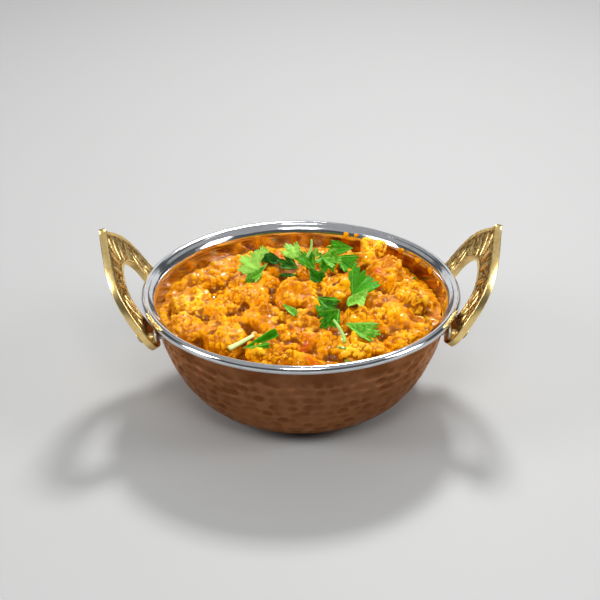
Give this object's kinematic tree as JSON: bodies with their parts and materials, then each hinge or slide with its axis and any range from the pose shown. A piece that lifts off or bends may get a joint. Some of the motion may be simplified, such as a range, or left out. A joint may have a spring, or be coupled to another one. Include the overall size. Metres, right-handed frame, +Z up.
{
  "type": "chunky masala curry in a kadai bowl",
  "caption": "Small hammered copper kadai with a steel liner and arched engraved brass handles, heaped with a chunky golden masala curry and torn coriander.",
  "frame": {"origin": "middle of the bowl's base, on the surface it stands on", "axes": "+X runs through the two handles to the right-hand one, the front of the bowl faces -Y, +Z up"},
  "size_m": [0.1866, 0.1498, 0.0877],
  "materials": {
    "copper": "satin hammered copper with a smooth band under the rim",
    "steel": "polished stainless steel",
    "brass": "polished edge, engraved and darkened inner face",
    "rivet": "polished stainless steel",
    "masala": "wet, crumbly golden-orange sauce over lumps",
    "coriander_leaf": "fresh leaf, slightly glossy",
    "coriander_stem": "fresh pale green stem"
  },
  "bodies": {
    "root": {"copper_shell": "copper", "steel_liner": "steel", "handle_left": "brass", "handle_right": "brass", "rivet_left_front": "rivet", "rivet_left_back": "rivet", "rivet_right_front": "rivet", "rivet_right_back": "rivet", "curry": "masala", "leaf_01": "coriander_leaf", "leaf_02": "coriander_leaf", "leaf_03": "coriander_leaf", "leaf_04": "coriander_leaf", "leaf_05": "coriander_leaf", "leaf_06": "coriander_leaf", "leaf_07": "coriander_leaf", "leaf_08": "coriander_leaf", "leaf_09": "coriander_leaf", "leaf_10": "coriander_leaf", "leaf_11": "coriander_leaf", "leaf_12": "coriander_leaf", "leaf_13": "coriander_leaf", "leaf_14": "coriander_leaf", "leaf_15": "coriander_leaf", "leaf_16": "coriander_leaf", "leaf_17": "coriander_leaf", "leaf_18": "coriander_leaf", "leaf_19": "coriander_leaf", "leaf_20": "coriander_leaf", "leaf_21": "coriander_leaf", "leaf_22": "coriander_leaf", "leaf_23": "coriander_leaf", "stem_01": "coriander_stem", "stem_02": "coriander_stem", "stem_03": "coriander_stem"}
  },
  "joints": []
}
